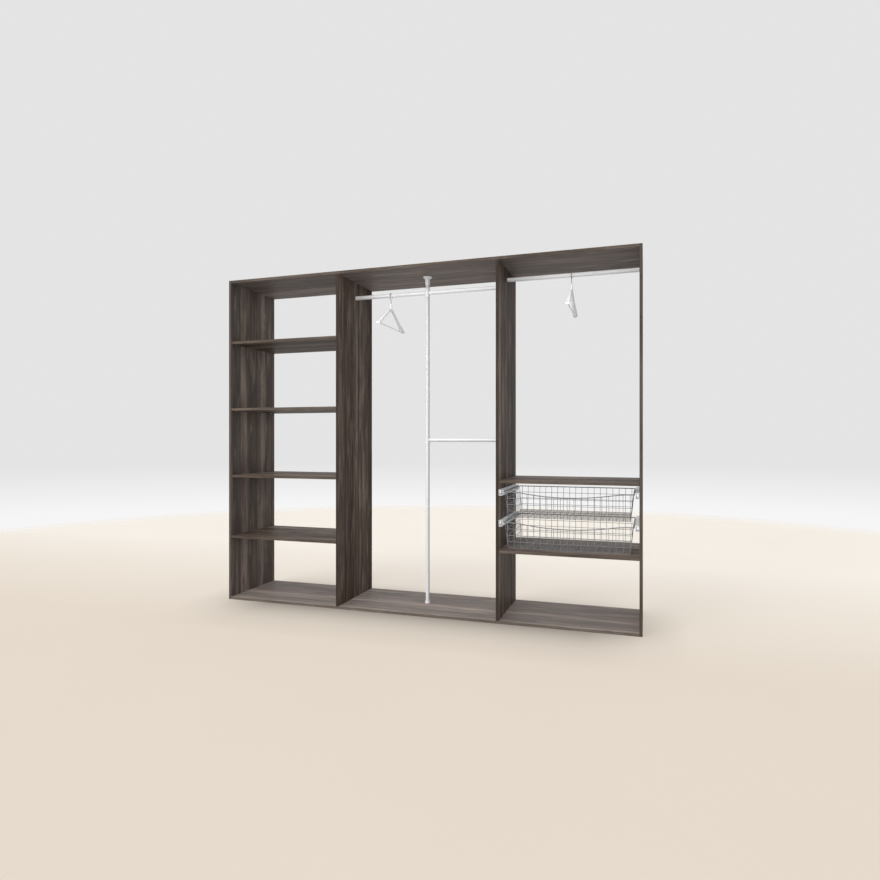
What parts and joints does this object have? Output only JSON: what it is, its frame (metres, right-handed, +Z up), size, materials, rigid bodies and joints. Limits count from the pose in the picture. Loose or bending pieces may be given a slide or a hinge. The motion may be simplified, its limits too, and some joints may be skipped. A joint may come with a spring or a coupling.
{
  "type": "closet system",
  "caption": "Open-backed closet organiser of dark laminated boards with shelves in one bay, hanging rails on a post, and sliding wire baskets under a shelf.",
  "frame": {"origin": "on the floor, under the centre of the box", "axes": "+X to the right seen from the front, +Y to the back, +Z up; the open front faces -Y"},
  "size_m": [2.6, 0.51, 2.1],
  "materials": {
    "board_laminate": "matt dark grey-brown wood-grain laminate",
    "dowel_wood": "plain beech",
    "screw_steel": "zinc plated",
    "tube_white": "satin white coating",
    "fitting_white": "satin white",
    "wire_grey": "satin grey coating",
    "runner_coated": "satin light grey coating",
    "roller_nylon": "plain white nylon",
    "hook_steel": "drawn wire",
    "hanger_white": "white moulding"
  },
  "bodies": {
    "carcass": {"bottom_panel": "board_laminate", "collar_set_screws": "screw_steel", "cross_collar": "fitting_white", "fitting_screws": "screw_steel", "half_height_rail": "tube_white", "left_bay_shelf_1": "board_laminate", "left_bay_shelf_2": "board_laminate", "left_bay_shelf_3": "board_laminate", "left_bay_shelf_4": "board_laminate", "left_divider_panel": "board_laminate", "left_side_panel": "board_laminate", "lower_basket_left_fixed_runner": "runner_coated", "lower_basket_right_fixed_runner": "runner_coated", "middle_rail_left": "tube_white", "middle_rail_right": "tube_white", "panel_dowels": "dowel_wood", "panel_screws": "screw_steel", "post_foot": "fitting_white", "post_top_flange": "fitting_white", "post_tube": "tube_white", "rail_end_plugs": "fitting_white", "right_bay_rail": "tube_white", "right_bay_shelf_lower": "board_laminate", "right_bay_shelf_upper": "board_laminate", "right_divider_panel": "board_laminate", "right_side_panel": "board_laminate", "runner_screws": "screw_steel", "shelf_pins": "screw_steel", "tee_collar": "fitting_white", "top_panel": "board_laminate", "upper_basket_left_fixed_runner": "runner_coated", "upper_basket_right_fixed_runner": "runner_coated"},
    "upper_basket": {"upper_basket_back_net": "wire_grey", "upper_basket_floor_net": "wire_grey", "upper_basket_front_net": "wire_grey", "upper_basket_left_moving_runner": "runner_coated", "upper_basket_left_net": "wire_grey", "upper_basket_right_moving_runner": "runner_coated", "upper_basket_right_net": "wire_grey"},
    "lower_basket": {"lower_basket_back_net": "wire_grey", "lower_basket_floor_net": "wire_grey", "lower_basket_front_net": "wire_grey", "lower_basket_left_moving_runner": "runner_coated", "lower_basket_left_net": "wire_grey", "lower_basket_right_moving_runner": "runner_coated", "lower_basket_right_net": "wire_grey"},
    "upper_basket_left_front_roller": {"upper_basket_left_front_roller": "roller_nylon"},
    "upper_basket_left_rear_roller": {"upper_basket_left_rear_roller": "roller_nylon"},
    "upper_basket_right_front_roller": {"upper_basket_right_front_roller": "roller_nylon"},
    "upper_basket_right_rear_roller": {"upper_basket_right_rear_roller": "roller_nylon"},
    "lower_basket_left_front_roller": {"lower_basket_left_front_roller": "roller_nylon"},
    "lower_basket_left_rear_roller": {"lower_basket_left_rear_roller": "roller_nylon"},
    "lower_basket_right_front_roller": {"lower_basket_right_front_roller": "roller_nylon"},
    "lower_basket_right_rear_roller": {"lower_basket_right_rear_roller": "roller_nylon"},
    "middle_hanger_hook": {"middle_hanger_hook": "hook_steel"},
    "middle_hanger_shoulders": {"middle_hanger_shoulders": "hanger_white"},
    "right_hanger_hook": {"right_hanger_hook": "hook_steel"},
    "right_hanger_shoulders": {"right_hanger_shoulders": "hanger_white"}
  },
  "joints": [
    {"name": "upper_basket_slide", "type": "slide", "parent": "carcass", "child": "upper_basket", "axis": [0, -1, 0], "range_m": [0, 0.36]},
    {"name": "lower_basket_slide", "type": "slide", "parent": "carcass", "child": "lower_basket", "axis": [0, -1, 0], "range_m": [0, 0.36]},
    {"name": "upper_basket_left_front_roller_spin", "type": "hinge", "parent": "carcass", "child": "upper_basket_left_front_roller", "pos_m": [0.524, -0.235, 0.7522], "axis": [1, 0, 0], "continuous": true},
    {"name": "upper_basket_left_rear_roller_spin", "type": "hinge", "parent": "upper_basket", "child": "upper_basket_left_rear_roller", "pos_m": [0.532, 0.221, 0.7443], "axis": [1, 0, 0], "continuous": true},
    {"name": "upper_basket_right_front_roller_spin", "type": "hinge", "parent": "carcass", "child": "upper_basket_right_front_roller", "pos_m": [1.276, -0.235, 0.7522], "axis": [1, 0, 0], "continuous": true},
    {"name": "upper_basket_right_rear_roller_spin", "type": "hinge", "parent": "upper_basket", "child": "upper_basket_right_rear_roller", "pos_m": [1.268, 0.221, 0.7443], "axis": [1, 0, 0], "continuous": true},
    {"name": "lower_basket_left_front_roller_spin", "type": "hinge", "parent": "carcass", "child": "lower_basket_left_front_roller", "pos_m": [0.524, -0.235, 0.5762], "axis": [1, 0, 0], "continuous": true},
    {"name": "lower_basket_left_rear_roller_spin", "type": "hinge", "parent": "lower_basket", "child": "lower_basket_left_rear_roller", "pos_m": [0.532, 0.221, 0.5683], "axis": [1, 0, 0], "continuous": true},
    {"name": "lower_basket_right_front_roller_spin", "type": "hinge", "parent": "carcass", "child": "lower_basket_right_front_roller", "pos_m": [1.276, -0.235, 0.5762], "axis": [1, 0, 0], "continuous": true},
    {"name": "lower_basket_right_rear_roller_spin", "type": "hinge", "parent": "lower_basket", "child": "lower_basket_right_rear_roller", "pos_m": [1.268, 0.221, 0.5683], "axis": [1, 0, 0], "continuous": true},
    {"name": "middle_hanger_slide", "type": "slide", "parent": "carcass", "child": "middle_hanger_hook", "axis": [1, 0, 0], "range_m": [-0.12, 0.12]},
    {"name": "middle_hanger_swivel", "type": "hinge", "parent": "middle_hanger_hook", "child": "middle_hanger_shoulders", "pos_m": [-0.25, 0, 1.9], "axis": [0, 0, 1], "range_deg": [-25, 25]},
    {"name": "right_hanger_slide", "type": "slide", "parent": "carcass", "child": "right_hanger_hook", "axis": [1, 0, 0], "range_m": [-0.12, 0.12]},
    {"name": "right_hanger_swivel", "type": "hinge", "parent": "right_hanger_hook", "child": "right_hanger_shoulders", "pos_m": [0.9, 0, 1.94], "axis": [0, 0, 1], "continuous": true}
  ],
  "couplings": [
    {"joint": "upper_basket_left_front_roller_spin", "follows": "upper_basket_slide", "rad_per_m": 100},
    {"joint": "upper_basket_left_rear_roller_spin", "follows": "upper_basket_slide", "rad_per_m": 100},
    {"joint": "upper_basket_right_front_roller_spin", "follows": "upper_basket_slide", "rad_per_m": 100},
    {"joint": "upper_basket_right_rear_roller_spin", "follows": "upper_basket_slide", "rad_per_m": 100},
    {"joint": "lower_basket_left_front_roller_spin", "follows": "lower_basket_slide", "rad_per_m": 100},
    {"joint": "lower_basket_left_rear_roller_spin", "follows": "lower_basket_slide", "rad_per_m": 100},
    {"joint": "lower_basket_right_front_roller_spin", "follows": "lower_basket_slide", "rad_per_m": 100},
    {"joint": "lower_basket_right_rear_roller_spin", "follows": "lower_basket_slide", "rad_per_m": 100}
  ]
}
